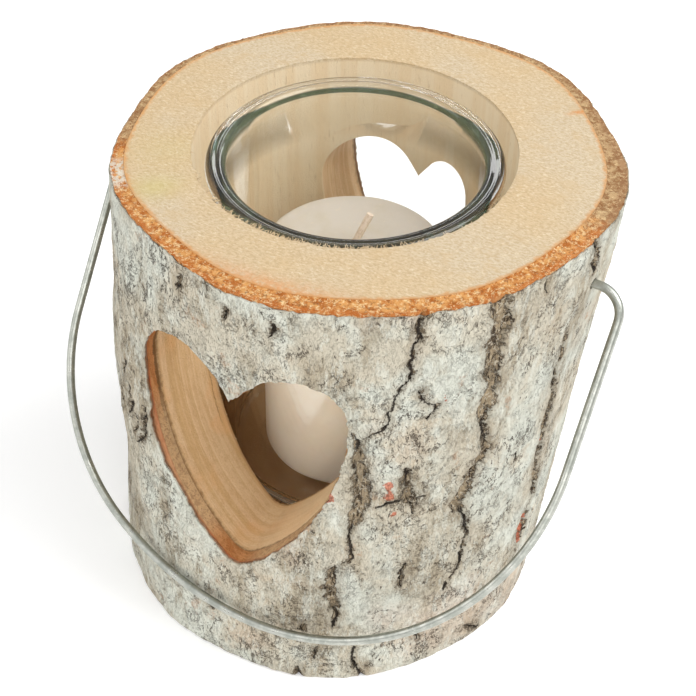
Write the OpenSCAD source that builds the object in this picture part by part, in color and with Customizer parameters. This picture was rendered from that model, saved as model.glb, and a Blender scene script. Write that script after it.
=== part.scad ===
// Hanging candle lantern: a bored birch log with its bark on, a heart window cut
// through both walls, a glass cup with a pillar candle, and a swinging wire bail.
// Origin on the bore axis at the base. +Z is up, -Y is the front heart, X is the bail axis.

/* [Log] */
// Height of the log from base to sawn top
log_h = 140; // [110:1:180]
// Mean radius over the bark at the top
log_r_top = 66.3; // [60:0.1:80]
// Mean radius over the bark at the base
log_r_base = 65.8; // [60:0.1:80]
// Centre of the top, sideways from the bore axis
top_x = 3.5; // [-6:0.1:6]
// Centre of the top, front to back from the bore axis
top_y = -0.4; // [-6:0.1:6]
// Centre of the base, sideways from the bore axis
base_x = -3.9; // [-6:0.1:6]
// Centre of the base, front to back from the bore axis
base_y = -4.5; // [-6:0.1:6]

/* [Bark] */
// Mean thickness of the whole bark
bark_t = 4.0; // [3:0.1:6]
// How much thicker the bark is on its thick side
bark_dt = 1.6; // [0:0.1:2]
// Side on which the bark is thickest, in degrees from +X
bark_side = -50; // [-180:5:180]
// Thickness of the white papery skin
skin_t = 0.9; // [0.6:0.1:1.5]

/* [Bore] */
// Radius of the bore that holds the glass
bore_r = 43; // [40:0.5:48]
// Depth of the bore below the sawn top
bore_depth = 110; // [80:1:115]

/* [Front heart] */
// Left lobe: how far its centre lies to the left of the bore axis
front_left_x = 14.4; // [12:0.1:18]
// Left lobe: depth of its centre below the sawn top
front_left_drop = 41.2; // [38:0.1:44]
// Left lobe: radius
front_left_r = 15.2; // [12:0.1:16]
// Right lobe: how far its centre lies to the right of the bore axis
front_right_x = 18.5; // [14:0.1:20]
// Right lobe: depth of its centre below the sawn top
front_right_drop = 36.1; // [34:0.1:42]
// Right lobe: radius
front_right_r = 12.2; // [10:0.1:15]
// Tip: distance of its centre from the bore axis, positive to the right
front_tip_x = 0.5; // [-4:0.1:4]
// Tip: depth of its centre below the sawn top
front_tip_drop = 94.7; // [85:0.1:98]
// Tip: radius
front_tip_r = 4.6; // [2:0.1:7]
// Notch between the lobes: distance from the bore axis, positive to the right
front_notch_x = 0.9; // [-3:0.1:4]
// Notch between the lobes: depth below the sawn top
front_notch_drop = 37.4; // [33:0.1:41]
// Radius of the long bowed flanks of both hearts
flank_r = 78; // [70:1:95]

/* [Back heart] */
// Left lobe: how far its centre lies to the left of the bore axis
back_left_x = 15.3; // [12:0.1:18]
// Left lobe: depth of its centre below the sawn top
back_left_drop = 39.4; // [36:0.1:44]
// Left lobe: radius
back_left_r = 13.6; // [11:0.1:16]
// Right lobe: how far its centre lies to the right of the bore axis
back_right_x = 10.2; // [8:0.1:20]
// Right lobe: depth of its centre below the sawn top
back_right_drop = 36.0; // [34:0.1:42]
// Right lobe: radius
back_right_r = 8.3; // [6:0.1:15]
// Tip: distance of its centre from the bore axis, positive to the right
back_tip_x = -2.5; // [-5:0.1:4]
// Tip: depth of its centre below the sawn top
back_tip_drop = 90.0; // [82:0.1:98]
// Tip: radius
back_tip_r = 4.6; // [2:0.1:7]
// Notch between the lobes: distance from the bore axis, positive to the right
back_notch_x = -0.5; // [-3:0.1:3]
// Notch between the lobes: depth below the sawn top
back_notch_drop = 36.6; // [32:0.1:41]

/* [Glass] */
// Outer radius of the glass wall
glass_r = 38.6; // [35:0.1:40]
// Thickness of the glass wall
glass_wall = 3.2; // [2:0.1:5]
// Thickness of the glass floor
glass_floor = 5.5; // [3:0.1:8]
// Height of the glass
glass_h = 106.3; // [95:0.1:108]
// Radius of the outer rim bead
bead_r = 2.0; // [1.5:0.1:2.5]
// Radius of the inner rim bead
step_r = 1.7; // [1.2:0.1:2]

/* [Candle] */
// Radius of the pillar candle
candle_r = 26; // [20:0.5:30]
// Height of the pillar candle
candle_h = 70; // [40:1:80]
// Radius of the wick
wick_r = 1.2; // [0.8:0.1:1.5]
// Lean of the free end of the wick
wick_lean = 29; // [0:1:50]
// Straight length of the leaning end
wick_tip = 9.8; // [3:0.1:12]

/* [Bail] */
// Radius of the galvanised wire
wire_r = 1.25; // [1:0.05:2]
// Depth of the wire holes below the sawn top
pivot_drop = 18.7; // [12:0.1:30]
// Distance of the left leg from the middle
leg_l = 74.1; // [72:0.1:85]
// Distance of the right leg from the middle
leg_r = 78.7; // [74:0.1:85]
// Angle from straight down at which the bail rests on the bark
bail_rest = 35.5; // [30:0.1:45]

/* [Hidden] */
$fn = 96;

// Log surface: rings of points round a leaning axis, with a gentle lobed outline.
around = 72;
rings = 7;
swell = 0.5;
twist = 25;
function mix(a, b, t) = a + (b - a) * t;
function fine(v) = round(v * 1000) / 1000;
function ripple(a) = 0.32 * cos(a + 50)
                   + 0.39 * cos(2 * a - 26)
                   + 0.33 * cos(3 * a - 171)
                   + 0.26 * cos(5 * a - 17)
                   + 0.68 * cos(7 * a - 100);
function bark_at(a) = bark_t + bark_dt * cos(a - bark_side);
function log_r(a, t) = mix(log_r_base, log_r_top, t)
                     + ripple(a + twist * (t - 1))
                     + swell * sin(180 * t) * cos(2 * a - 60);
function log_pt(a, z, inset) =
    let (t = z / log_h, r = log_r(a, t) - inset)
    [mix(base_x, top_x, t) + r * cos(a), mix(base_y, top_y, t) + r * sin(a), z];

// Depth of the layer boundaries below the surface: 0 over the skin, 1 under it, 2 at the wood.
function layer(n, a) = n == 0 ? 0 : n == 1 ? skin_t : bark_at(a);
function ring_points(n, z0, z1) = [
    for (i = [0 : rings], j = [0 : around - 1])
        let (a = 360 * j / around)
        log_pt(a, mix(z0, z1, i / rings), layer(n, a))
];
function wall_faces(first, flip) = [
    for (i = [0 : rings - 1], j = [0 : around - 1])
        let (
            a = first + i * around + j,
            b = first + i * around + (j + 1) % around,
            c = b + around,
            d = a + around
        )
        each flip ? [[a, b, c], [a, c, d]] : [[a, c, b], [a, d, c]]
];
function end_faces(outer, inner, flip) = [
    for (j = [0 : around - 1])
        let (
            a = outer + j,
            b = outer + (j + 1) % around,
            c = inner + (j + 1) % around,
            d = inner + j
        )
        each flip ? [[a, c, b], [a, d, c]] : [[a, b, c], [a, c, d]]
];
ring_total = (rings + 1) * around;
top_ring = rings * around;
skin_z0 = 0.6;

// Bore, heart and wire holes.
floor_z = log_h - bore_depth;
pivot_z = log_h - pivot_drop;
hole_r = wire_r + 0.05;
pin_in = 48;
hole_in = 47;
reach = 90;
heart_in = 20;
heart_len = reach - heart_in;
lap = 0.05;

// Centre of the arc of radius r that bows round the circles a and b on side s of the line
// from a to b. It runs a little inside both, so that it crosses them and never just grazes them.
function arc_centre(a, b, r, s) =
    let (
        d = [b.x - a.x, b.y - a.y],
        u = d / norm(d),
        ra = r - a.z + lap,
        rb = r - b.z + lap,
        along = (norm(d) * norm(d) + ra * ra - rb * rb) / (2 * norm(d)),
        off = sqrt(ra * ra - along * along)
    )
    [a.x + u.x * along + s * u.y * off, a.y + u.y * along - s * u.x * off];

// Point where a straight line from p meets the circle a, a little inside it, on side s.
function touch_point(p, a, s) =
    let (
        d = [p.x - a.x, p.y - a.y],
        r = a.z - lap,
        q = atan2(d.y, d.x) - s * acos(min(1, r / norm(d)))
    )
    [a.x + r * cos(q), a.y + r * sin(q)];

// Each lobe and tip: centre sideways, height of the centre, radius. Each notch: sideways, height.
front_left = [-front_left_x, log_h - front_left_drop, front_left_r];
front_right = [front_right_x, log_h - front_right_drop, front_right_r];
front_tip = [front_tip_x, log_h - front_tip_drop, front_tip_r];
front_notch = [front_notch_x, log_h - front_notch_drop];
back_left = [-back_left_x, log_h - back_left_drop, back_left_r];
back_right = [back_right_x, log_h - back_right_drop, back_right_r];
back_tip = [back_tip_x, log_h - back_tip_drop, back_tip_r];
back_notch = [back_notch_x, log_h - back_notch_drop];

// Glass.
glass_in = glass_r - glass_wall;
rim_z = floor_z + glass_h;
bead_x = glass_r + 1.4 - bead_r;
step_x = bead_x - 1.9;
step_z = rim_z - step_r;
foot_r = 4;
cup_r = 3;
punt_r = 27;
punt_h = 1.2;

// Candle and wick.
candle_z = floor_z + glass_floor;
candle_top = candle_z + candle_h;
edge_top = 3;
edge_low = 5;
fit = 0.05;
bend_r = 3;
lean_dir = 55;
bend_x = bend_r * (1 - cos(wick_lean));
bend_z = bend_r * sin(wick_lean);
disc_r = 8;
disc_t = 0.5;
disc_gap = 0.3;
collar_r = 2.1;
collar_h = 6;

// Bail centreline: two legs, two unequal corner arcs, and low arcs that meet at the apex.
turn_r = 7.5;
knot = 0.02;
apex_x = 5.2;
apex_drop = 122.4;
corner_l = 61.9;
corner_r = 73.4;
corner_al = 60.8;
corner_ar = 57.4;

module log_solid(n) {
    polyhedron(
        points = ring_points(n, 0, log_h),
        faces = concat(
            wall_faces(0, false),
            [[for (j = [0 : around - 1]) j]],
            [[for (j = [0 : around - 1]) top_ring + around - 1 - j]]
        ),
        convexity = 4
    );
}

module log_shell(outer, inner, z0) {
    polyhedron(
        points = concat(ring_points(outer, z0, log_h), ring_points(inner, z0, log_h)),
        faces = concat(
            wall_faces(0, false),
            wall_faces(ring_total, true),
            end_faces(0, ring_total, false),
            end_faces(top_ring, ring_total + top_ring, true)
        ),
        convexity = 6
    );
}

// The part of a heart between its lobe and its tip, bowed outward on side s.
module flank(lobe, tip, s) {
    centre = arc_centre(lobe, tip, flank_r, s);
    lobe_c = [lobe.x, lobe.y];
    tip_c = [tip.x, tip.y];
    intersection() {
        translate(centre)
            circle(r = flank_r);
        polygon([lobe_c, 2 * lobe_c - centre, 2 * tip_c - centre, tip_c]);
    }
}

module heart(left, right, tip, notch) {
    for (c = [left, right, tip])
        translate([c.x, c.y])
            circle(r = c.z);
    polygon([
        [left.x, left.y],
        touch_point(notch, left, -1),
        notch,
        touch_point(notch, right, 1),
        [right.x, right.y],
        [tip.x, tip.y]
    ]);
    flank(left, tip, -1);
    flank(right, tip, 1);
}

// A heart-shaped prism that runs from y towards the front.
module heart_cut(left, right, tip, notch, y) {
    translate([0, y, 0])
        rotate([90, 0, 0])
            linear_extrude(height = heart_len)
                heart(left, right, tip, notch);
}

module heart_cuts() {
    heart_cut(front_left, front_right, front_tip, front_notch, -heart_in);
    heart_cut(back_left, back_right, back_tip, back_notch, reach);
}

module wire_holes() {
    for (s = [0, 180])
        rotate([0, 0, s])
            translate([hole_in, 0, pivot_z])
                rotate([0, 90, 0])
                    cylinder(r = hole_r, h = 40);
}

module wood_core() {
    color("BurlyWood")
        difference() {
            log_solid(2);
            translate([0, 0, floor_z])
                cylinder(r = bore_r, h = bore_depth + 1);
            heart_cuts();
            wire_holes();
        }
}

module inner_bark() {
    color("Peru")
        difference() {
            log_shell(1, 2, 0);
            heart_cuts();
            wire_holes();
        }
}

module outer_bark() {
    color("Gainsboro")
        difference() {
            log_shell(0, 1, skin_z0);
            heart_cuts();
            wire_holes();
        }
}

module glass_profile() {
    difference() {
        union() {
            translate([0, floor_z])
                square([glass_r - foot_r, foot_r]);
            translate([glass_r - foot_r, floor_z + foot_r])
                circle(r = foot_r);
            translate([0, floor_z + foot_r])
                square([glass_r, glass_h - foot_r - bead_r]);
        }
        translate([-1, floor_z + glass_floor + cup_r])
            square([glass_in + 1, glass_h]);
        translate([-1, floor_z + glass_floor])
            square([glass_in - cup_r + 1, cup_r + 1]);
        translate([glass_in - cup_r, floor_z + glass_floor + cup_r])
            circle(r = cup_r);
        translate([-1, floor_z - 1])
            square([punt_r + 1, punt_h + 1]);
    }
    translate([bead_x, rim_z - bead_r])
        circle(r = bead_r);
    translate([step_x, step_z])
        circle(r = step_r);
}

module glass_insert() {
    color("LightCyan", 0.5)
        rotate_extrude()
            intersection() {
                glass_profile();
                square([reach, log_h]);
            }
}

module candle_profile() {
    translate([0, candle_z])
        square([candle_r - edge_low, edge_low]);
    translate([0, candle_z + edge_low])
        square([candle_r, candle_h - edge_low - edge_top]);
    translate([0, candle_top - edge_top])
        square([candle_r - edge_top, edge_top]);
    intersection() {
        translate([candle_r - edge_low, candle_z + edge_low])
            circle(r = edge_low);
        square([reach, log_h]);
    }
    translate([candle_r - edge_top, candle_top - edge_top])
        circle(r = edge_top);
}

module candle() {
    color("Ivory")
        difference() {
            rotate_extrude()
                candle_profile();
            translate([0, 0, candle_z - 1])
                cylinder(r = wick_r + fit, h = candle_h + 2);
            translate([0, 0, candle_z - 1])
                cylinder(r = disc_r + fit, h = 1 + disc_gap + disc_t + fit);
            translate([0, 0, candle_z])
                cylinder(r = collar_r + fit, h = disc_gap + disc_t + collar_h + fit);
        }
}

module wick() {
    color("AntiqueWhite") {
        translate([0, 0, candle_z + disc_gap])
            cylinder(r = wick_r, h = candle_h - disc_gap);
        translate([0, 0, candle_top])
            rotate([0, 0, lean_dir]) {
                translate([bend_r, 0, 0])
                    rotate([-90, 0, 0])
                        rotate([0, 0, 180])
                            rotate_extrude(angle = wick_lean)
                                translate([bend_r, 0])
                                    circle(r = wick_r);
                wire_knot(bend_x, bend_z, wick_r);
                translate([bend_x, 0, bend_z])
                    rotate([0, wick_lean, 0])
                        cylinder(r = wick_r, h = wick_tip);
            }
    }
}

module wick_sustainer() {
    color("Silver")
        translate([0, 0, candle_z + disc_gap])
            difference() {
                union() {
                    cylinder(r = disc_r, h = disc_t);
                    cylinder(r = collar_r, h = disc_t + collar_h);
                }
                translate([0, 0, -1])
                    cylinder(r = wick_r + fit, h = collar_h + 3);
            }
}

// An arc of wire in the XZ plane: centre, radius, start angle and swept angle.
module wire_arc(cx, cz, r, from, sweep) {
    translate([cx, 0, cz])
        rotate([90, 0, 0])
            rotate([0, 0, from])
                rotate_extrude(angle = sweep)
                    translate([r, 0])
                        circle(r = wire_r);
}

// A ball a hair larger than the wire closes a joint between two arcs.
module wire_knot(x, z, r) {
    translate([x, 0, z])
        sphere(r = r + knot);
}

// One half of the bail, hanging down on the +X side, from its pin to the apex at x = end_x.
module bail_half(leg, corner, angle, end_x) {
    low = fine(corner - (end_x - leg + corner) / cos(angle));
    drop = fine(apex_drop - low - (corner - low) * sin(angle));
    translate([pin_in, 0, 0])
        rotate([0, 90, 0])
            cylinder(r = wire_r, h = leg - turn_r - pin_in);
    wire_arc(leg - turn_r, -turn_r, turn_r, 0, 90);
    translate([leg, 0, -drop])
        cylinder(r = wire_r, h = drop - turn_r);
    wire_arc(leg - corner, -drop, corner, 0, -angle);
    wire_knot(end_x + low * cos(angle), low - apex_drop - low * sin(angle), wire_r);
    wire_arc(end_x, low - apex_drop, low, -90, 90 - angle);
}

module bail_handle() {
    color("DarkGray")
        translate([0, 0, pivot_z])
            rotate([-bail_rest, 0, 0]) {
                bail_half(leg_r, corner_r, corner_ar, apex_x);
                mirror([1, 0, 0])
                    bail_half(leg_l, corner_l, corner_al, -apex_x);
            }
}

wood_core();
inner_bark();
outer_bark();
glass_insert();
candle();
wick();
wick_sustainer();
bail_handle();
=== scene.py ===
import math
import bpy
import numpy as np
from mathutils import Euler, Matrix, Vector


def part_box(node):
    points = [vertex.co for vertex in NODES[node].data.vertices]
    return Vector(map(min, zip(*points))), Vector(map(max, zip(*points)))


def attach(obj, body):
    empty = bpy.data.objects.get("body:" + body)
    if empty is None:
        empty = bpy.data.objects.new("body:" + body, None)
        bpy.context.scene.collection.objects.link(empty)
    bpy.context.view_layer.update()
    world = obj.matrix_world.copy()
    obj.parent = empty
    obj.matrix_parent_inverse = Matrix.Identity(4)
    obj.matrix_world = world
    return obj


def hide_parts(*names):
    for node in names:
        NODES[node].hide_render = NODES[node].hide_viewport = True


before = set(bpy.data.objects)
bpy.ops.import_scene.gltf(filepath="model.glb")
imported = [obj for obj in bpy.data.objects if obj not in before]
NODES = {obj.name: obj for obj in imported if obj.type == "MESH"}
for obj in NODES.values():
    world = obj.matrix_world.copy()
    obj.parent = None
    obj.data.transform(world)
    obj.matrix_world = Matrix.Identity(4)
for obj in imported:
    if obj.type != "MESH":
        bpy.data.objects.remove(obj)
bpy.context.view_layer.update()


# ---------------------------------------------------------------- sizes from the frame, in mm
_, wood_hi = [[c * 1000 for c in p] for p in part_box("wood_core")]
glass_lo, glass_hi = [[c * 1000 for c in p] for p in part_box("glass_insert")]
candle_lo, candle_hi = [[c * 1000 for c in p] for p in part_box("candle")]
H = wood_hi[2]
FLOOR_Z = glass_lo[2]
RIM_Z = glass_hi[2]
BORE_R = 43.0
SKIN_T = 0.9
BARK_R = 66  # the radius at which bark angles are turned into mm
PIVOT_Z = H - 18.7

# ---------------------------------------------------------------- noise, seeded and periodic round the log


def value_noise(u, v, nx, ny, seed):
    """Smooth noise from -1 to 1. u repeats every 1, v runs over about 0 to 1."""
    g = np.random.RandomState(seed).rand(nx, ny + 4) * 2 - 1
    x = (u % 1.0) * nx
    y = np.clip((v + 0.1) / 1.2, 0, 1) * ny
    xi = np.floor(x).astype(int)
    yi = np.floor(y).astype(int)
    fx = x - xi
    fy = y - yi
    fx = fx * fx * (3 - 2 * fx)
    fy = fy * fy * (3 - 2 * fy)
    x0, x1 = xi % nx, (xi + 1) % nx
    top = g[x0, yi] * (1 - fx) + g[x1, yi] * fx
    low = g[x0, yi + 1] * (1 - fx) + g[x1, yi + 1] * fx
    return top * (1 - fy) + low * fy


def fbm(u, v, nx, ny, octaves, seed, rough=0.5):
    out, amp, total = 0, 1.0, 0.0
    for o in range(octaves):
        out = out + amp * value_noise(u, v, nx * 2**o, ny * 2**o, seed + 17 * o)
        total += amp
        amp *= rough
    return out / total


def smooth(a, b, x):
    t = np.clip((x - a) / (b - a), 0, 1)
    return t * t * (3 - 2 * t)


# ---------------------------------------------------------------- the log's form, as in the CAD model


def cosd(a):
    return np.cos(np.radians(a))


def log_centre(t):
    return -3.9 + 7.4 * t, -4.5 + 4.1 * t


def log_r(a, t):
    b = a + 25 * (t - 1)
    lobes = (
        0.32 * cosd(b + 50)
        + 0.39 * cosd(2 * b - 26)
        + 0.33 * cosd(3 * b - 171)
        + 0.26 * cosd(5 * b - 17)
        + 0.68 * cosd(7 * b - 100)
    )
    return 65.8 + 0.5 * t + lobes + 0.5 * np.sin(np.pi * t) * cosd(2 * a - 60)


def bark_t(a):
    return 4.0 + 1.6 * cosd(a + 50)


# Fissures in the bark: lists of (angle in degrees, height in mm, half width in mm).
FISSURES = [
    [(-50, 141, 1.1), (-50.5, 132, 0.8), (-51, 125, 0.6), (-51.5, 118, 0.5), (-54, 113, 0.4),
     (-54.5, 102, 0.4), (-59, 98, 0.3)],
    [(-61.5, 100, 0.4), (-60, 93, 1.0), (-59, 86, 1.6), (-58.5, 78, 2.0), (-59, 70, 1.7),
     (-60, 62, 0.7), (-59.5, 52, 0.5), (-63, 47, 1.0), (-63.5, 40, 1.6), (-62.5, 34, 1.4),
     (-61, 28, 0.9), (-61.5, 23, 0.3)],
    [(-33.5, 141, 2.1), (-32, 132, 2.2), (-33, 124, 2.0), (-32.5, 117, 1.8), (-31, 109, 1.5),
     (-31.5, 102, 2.0), (-32, 95, 0.8), (-30, 89, 1.1), (-29.5, 84, 1.5), (-32.5, 80, 1.3),
     (-32.5, 74, 1.4), (-35, 68, 1.5), (-32.5, 62, 0.8), (-31, 56, 0.7), (-30.5, 49, 0.6),
     (-30.5, 42, 0.5), (-32, 36, 0.3), (-34, 31, 0.1)],
    [(-4.5, 139, 0.6), (-2, 132, 1.3), (-1.5, 127, 0.7)],
    [(-7, 110, 0.9), (-7.5, 105, 0.7), (-8, 97, 0.6), (-7, 89, 1.3), (-6.5, 80, 1.7),
     (-7.5, 72, 1.1), (-7, 63, 1.3), (-5.5, 55, 1.7), (-4.5, 47, 1.2), (-7, 43, 0.3)],
    [(-8, 40, 1.6), (-7.5, 34, 2.2), (-8, 27, 1.1), (-10, 19, 0.2)],
    [(-48.5, 85, 0.8), (-47.5, 78, 1.3), (-46.5, 72, 1.2), (-46, 68, 0.2)],
    [(-46, 47, 0.2), (-46, 42, 0.7), (-46.5, 38, 0.2)],
    [(-105, 136, 0.2), (-105, 133, 1.1), (-106, 131, 0.2)],
    [(-91, 134, 0.6), (-91, 131, 0.2)],
    [(-80, 134, 0.3), (-80.5, 131, 0.8)],
    [(-48.5, 114, 0.1), (-47, 110, 0.3), (-44.5, 108, 0.6), (-44.5, 106, 0.3), (-46, 104, 0.1)],
    [(-50, 74, 0.3), (-53, 73, 0.5), (-55, 72, 0.1)],
    [(-45.5, 74, 0.4), (-43.5, 74.5, 0.1)],
    [(-21, 138, 0.4), (-20.5, 134, 0.2)],
    [(-65, 13, 0.6), (-65.5, 9, 0.4)],
    [(-69, 4, 0.6), (-69, 0, 0.8)],
    [(-56.5, 13, 0.3), (-56, 7, 0.8), (-54, 2, 0.5), (-53.5, 0, 0.9)],
    [(-39.5, 13, 0.4), (-39.5, 11, 0.2)],
    [(-25.5, 7.5, 0.5), (-22, 4, 0.9), (-19.5, 2, 0.2)],
    [(-118.5, 79, 0.9), (-118, 74, 1.0), (-119, 68, 0.7), (-121, 64, 0.3)],
    [(-131, 75, 0.5), (-130.5, 70, 0.8), (-131, 66, 0.2)],
    [(-126, 82, 0.5), (-124, 76, 0.9), (-125.5, 71, 0.4)],
    [(-122, 73, 0.5), (-121.5, 70, 0.8), (-123, 66, 0.3)],
    [(-127, 89, 0.4), (-128, 86, 0.6), (-127.5, 84, 0.2)],
    [(-94.5, 16.5, 0.9), (-92, 17.5, 0.2)],
    [(-68.5, 22.5, 0.8), (-68.5, 20.5, 0.9)],
    [(-19.5, 77, 0.4), (-19, 74, 0.5)],
    [(-145, 60, 0.2), (-147, 50, 0.8), (-152, 44, 0.9), (-155, 38, 0.2)],
]
side_rng = np.random.RandomState(11)
for start in (28, 47, 71, 92, 118, 139, 160, 181):
    z = side_rng.uniform(95, 141)
    angle = start + side_rng.uniform(-4, 4)
    path = []
    while z > 8 and len(path) < 14:
        path.append((angle, z, float(side_rng.uniform(0.3, 1.9))))
        z -= side_rng.uniform(6, 11)
        angle += side_rng.uniform(-2.4, 2.4)
    path[-1] = (path[-1][0], path[-1][1], 0.1)
    FISSURES.append(path)

RUST = [(-52.2, 80, 1.3), (-51.8, 76, 1.4), (-50.2, 69, 1.0), (-7.8, 38, 1.9), (-7.6, 34, 2.2),
    (-7.9, 29, 1.7),
        (-6.5, 80, 0.9), (-7.5, 71, 1.0), (-7, 63, 0.9), (-66, 76.5, 1.6), (-67.5, 74, 1.2), (-42.5, 110,
            0.9),
        (-58, 112, 0.5), (110, 60, 1.2), (150, 95, 1.0), (70, 30, 1.1)]


def arc_mm(a):
    return a * math.pi / 180 * BARK_R


def fissure_distances(a, z):
    """Distance in mm from the nearest fissure's edge, negative inside, and from its middle, with a sign."""
    plain = arc_mm(a)
    lap = arc_mm(360)
    best = np.full(a.shape, 50.0)
    middle = np.full(a.shape, 50.0)
    knots = np.arange(-6, 150, 2.3)
    for k, path in enumerate(FISSURES):
        s = plain + np.interp(z, knots, np.random.RandomState(500 + k).uniform(-0.75, 0.75, len(knots)))
        for (a0, z0, w0), (a1, z1, w1) in zip(path, path[1:]):
            s0, s1 = arc_mm(a0), arc_mm(a1)
            ds, dz = s1 - s0, z1 - z0
            px = (s - s0 + lap / 2) % lap - lap / 2
            pz = z - z0
            t = np.clip((px * ds + pz * dz) / (ds * ds + dz * dz), 0, 1)
            away = np.hypot(px - t * ds, pz - t * dz)
            d = away - np.maximum(1.38 * (w0 + (w1 - w0) * t) - 0.52, 0)
            nearer = d < best
            best = np.where(nearer, d, best)
            middle = np.where(nearer, away * np.sign(px * dz - pz * ds), middle)
    return best, middle


def fissure_distance(a, z):
    return fissure_distances(a, z)[0]


def relief(a, z):
    """Height of the bark's surface over the plain form, in mm."""
    u, v = a / 360, z / H
    wide = 0.45 * fbm(u, v, 10, 4, 2, 3)
    lump = 0.42 * fbm(u, v, 46, 20, 3, 5)
    grain = 0.16 * fbm(u, v, 150, 34, 2, 9)
    flake = 0.20 * fbm(u, v, 190, 70, 2, 13, 0.7)
    turn = (a + 180) % 360 - 180
    side = np.exp(-(((turn + 150) / 26) ** 2)) + np.exp(-(((turn - 210) / 26) ** 2))
    lean = side * np.interp(z, (8, 22, 34, 46, 58, 70, 78, 95, 112),
        (0, -0.5, -1.3, -1.6, -0.9, 0.45, 0.8, 0.7, 0))
    foot = np.interp(turn, (-160, -135, -125, -113, -103, -92, -60, -42, -20),
        (0, 0, -1.1, -0.6, 0.6, 1.3, 1.4, 1.2, 0))
    shoulder = 1.3 * np.exp(-(((turn - 16) / 26) ** 2)) * smooth(92, 128, z)
    return wide + lump + grain + flake + lean + foot * smooth(16, 2, z) + shoulder


def groove(a, z):
    u, v = a / 360, z / H
    d = fissure_distance(a, z) + 0.8 * fbm(u, v, 200, 100, 2, 21)
    return 1.5 * smooth(0.7, -1.1, d) - 0.22 * smooth(2.4, 0.9, d) * smooth(0.3, 0.9, d)


def surface_r(a, z):
    """Radius of the bark's outer surface about the leaning axis."""
    return log_r(a, np.clip(z / H, 0, 1)) + relief(a, z) - groove(a, z) - 0.15


def low_filter(r, k):
    out = r.copy()
    for di in range(-k, k + 1):
        for dj in range(-k, k + 1):
            out = np.minimum(out, np.roll(np.roll(r, di, 0), dj, 1))
    return out


# ---------------------------------------------------------------- mesh helpers


def at(a, r, z):
    cx, cy = log_centre(z / H)
    return np.stack([cx + r * cosd(a), cy + r * np.sin(np.radians(a)), z], -1)


def ring_faces(rows, n, base=0, flip=False):
    """Quads of a grid of rows of n points each, closed round."""
    i, j = np.meshgrid(np.arange(rows - 1), np.arange(n), indexing="ij")
    a = base + i * n + j
    b = base + i * n + (j + 1) % n
    q = np.stack([a, b, b + n, a + n], -1).reshape(-1, 4)
    return q[:, ::-1] if flip else q


def new_mesh(name, points, faces, metres=False):
    """A mesh object from points in mm and faces of 3 or more corners."""
    points = np.asarray(points, float)
    mesh = bpy.data.meshes.new(name)
    if isinstance(faces, np.ndarray):
        faces = faces.tolist()
    mesh.from_pydata((points if metres else points * 0.001).tolist(), [], faces)
    mesh.validate()
    mesh.update()
    obj = bpy.data.objects.new(name, mesh)
    bpy.context.scene.collection.objects.link(obj)
    return obj


def closed_loops(name, loops):
    """A closed mesh from a list of rings of equal size, joined in order and back to the first."""
    n = len(loops[0])
    rows = len(loops)
    points = np.concatenate(loops)
    quads = ring_faces(rows, n)
    j = np.arange(n)
    last = (rows - 1) * n
    seam = np.stack([last + j, last + (j + 1) % n, (j + 1) % n, j], -1)
    return new_mesh(name, points, np.concatenate([quads, seam]))


def coords(mesh):
    co = np.empty(len(mesh.vertices) * 3, np.float32)
    mesh.vertices.foreach_get("co", co)
    return co.reshape(-1, 3).astype(float) * 1000


def polar(mesh):
    p = coords(mesh)
    t = np.clip(p[:, 2] / H, 0, 1)
    cx, cy = log_centre(t)
    dx, dy = p[:, 0] - cx, p[:, 1] - cy
    return np.degrees(np.arctan2(dy, dx)), np.hypot(dx, dy), p[:, 2], p


def put(mesh, name, values):
    att = mesh.attributes.new(name, "FLOAT", "POINT")
    att.data.foreach_set("value", np.asarray(values, np.float32))


def cut(obj, *cutters):
    """Takes the cutters out of obj for good."""
    for c in cutters:
        mod = obj.modifiers.new("cut", "BOOLEAN")
        mod.operation = "DIFFERENCE"
        mod.object = c
        mod.solver = "MANIFOLD"
    deps = bpy.context.evaluated_depsgraph_get()
    mesh = bpy.data.meshes.new_from_object(obj.evaluated_get(deps))
    obj.modifiers.clear()
    old = obj.data
    obj.data = mesh
    mesh.name = obj.name
    bpy.data.meshes.remove(old)


def soften(obj, angle=40):
    obj.data.shade_smooth()
    obj.data.set_sharp_from_angle(angle=math.radians(angle))


# ---------------------------------------------------------------- the hearts' outlines and their cutters
FLANK_R = 78.0
# Each heart: lobes and tip as (sideways, height, radius), and the notch between the lobes.
FRONT = {"left": (-14.4, H - 41.2, 15.2), "right": (18.5, H - 36.1, 12.2), "tip": (0.5, H - 94.7, 4.6),
    "notch": (0.9, H - 37.4)}
BACK = {"left": (-15.3, H - 39.4, 13.6), "right": (10.2, H - 36.0, 8.3), "tip": (-2.5, H - 90.0, 4.6),
    "notch": (-0.5, H - 36.6)}


def heart_side(lobe, tip, notch, flip):
    """Points from the notch round one lobe and down its flank to the foot of the tip."""
    a = np.array([lobe[0] * flip, lobe[1]])
    b = np.array([tip[0] * flip, tip[1]])
    n = np.array([notch[0] * flip, notch[1]])
    d = b - a
    span = np.hypot(*d)
    u = d / span
    ra, rb = FLANK_R - lobe[2], FLANK_R - tip[2]
    along = (span**2 + ra**2 - rb**2) / (2 * span)
    off = math.sqrt(ra**2 - along**2)
    c = a + u * along + np.array([u[1], -u[0]]) * off
    to_notch = n - a
    start = math.atan2(to_notch[1], to_notch[0]) - math.acos(min(1, lobe[2] / np.hypot(*to_notch)))
    start %= 2 * math.pi
    high = math.atan2(*(a - c)[::-1])
    low = math.atan2(*(b - c)[::-1])

    def bow(o, r, t0, t1, k):
        t = np.linspace(t0, t1, k)
        return np.stack([o[0] + r * np.cos(t), o[1] + r * np.sin(t)], -1)

    pts = np.concatenate([n[None], bow(a, lobe[2], start, high, 120), bow(c, FLANK_R, high, low, 160)[1:],
                          bow(b, tip[2], low, -math.pi / 2, 24)[1:]])
    return pts * [flip, 1]


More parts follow.
